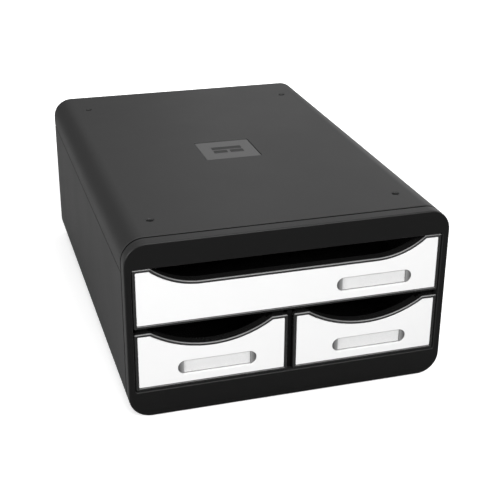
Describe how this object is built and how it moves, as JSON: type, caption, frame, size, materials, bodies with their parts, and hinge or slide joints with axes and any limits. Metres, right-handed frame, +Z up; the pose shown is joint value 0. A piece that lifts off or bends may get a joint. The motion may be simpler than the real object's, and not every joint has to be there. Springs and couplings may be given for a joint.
{
  "type": "desktop drawer unit",
  "caption": "Moulded desktop drawer box with a full-width drawer above half-width drawers, scooped finger cut-outs and label windows.",
  "frame": {"origin": "on the floor plane, under the middle of the unit", "axes": "+X to the right seen from the front, +Y from the drawer fronts to the back, +Z up"},
  "size_m": [0.25, 0.362, 0.142],
  "materials": {
    "charcoal_shell": "fine matt grain",
    "black_frame": "satin",
    "inner_black": "matt",
    "badge_grey": "satin",
    "foot_rubber": "matt",
    "tray_grey": "satin",
    "stop_grey": "satin",
    "front_white": "gloss",
    "card_paper": "uncoated",
    "clear_window": "clear"
  },
  "bodies": {
    "casing": {"casing_body": "charcoal_shell", "top_cover": "charcoal_shell", "rear_panel": "charcoal_shell", "front_frame": "black_frame", "lower_shelf": "inner_black", "middle_shelf": "inner_black", "lower_divider": "inner_black", "badge_plate": "badge_grey", "front_left_foot": "foot_rubber", "front_right_foot": "foot_rubber", "rear_left_foot": "foot_rubber", "rear_right_foot": "foot_rubber"},
    "upper_drawer": {"upper_tray": "tray_grey", "upper_front": "front_white", "upper_card": "card_paper", "upper_window": "clear_window", "upper_drawer_left_stop": "stop_grey", "upper_drawer_right_stop": "stop_grey"},
    "left_drawer": {"left_tray": "tray_grey", "left_front": "front_white", "left_card": "card_paper", "left_window": "clear_window", "left_drawer_left_stop": "stop_grey", "left_drawer_right_stop": "stop_grey"},
    "right_drawer": {"right_tray": "tray_grey", "right_front": "front_white", "right_card": "card_paper", "right_window": "clear_window", "right_drawer_left_stop": "stop_grey", "right_drawer_right_stop": "stop_grey"}
  },
  "joints": [
    {"name": "upper_drawer_slide", "type": "slide", "parent": "casing", "child": "upper_drawer", "axis": [0, -1, 0], "range_m": [0, 0.25]},
    {"name": "left_drawer_slide", "type": "slide", "parent": "casing", "child": "left_drawer", "axis": [0, -1, 0], "range_m": [0, 0.25]},
    {"name": "right_drawer_slide", "type": "slide", "parent": "casing", "child": "right_drawer", "axis": [0, -1, 0], "range_m": [0, 0.25]}
  ]
}
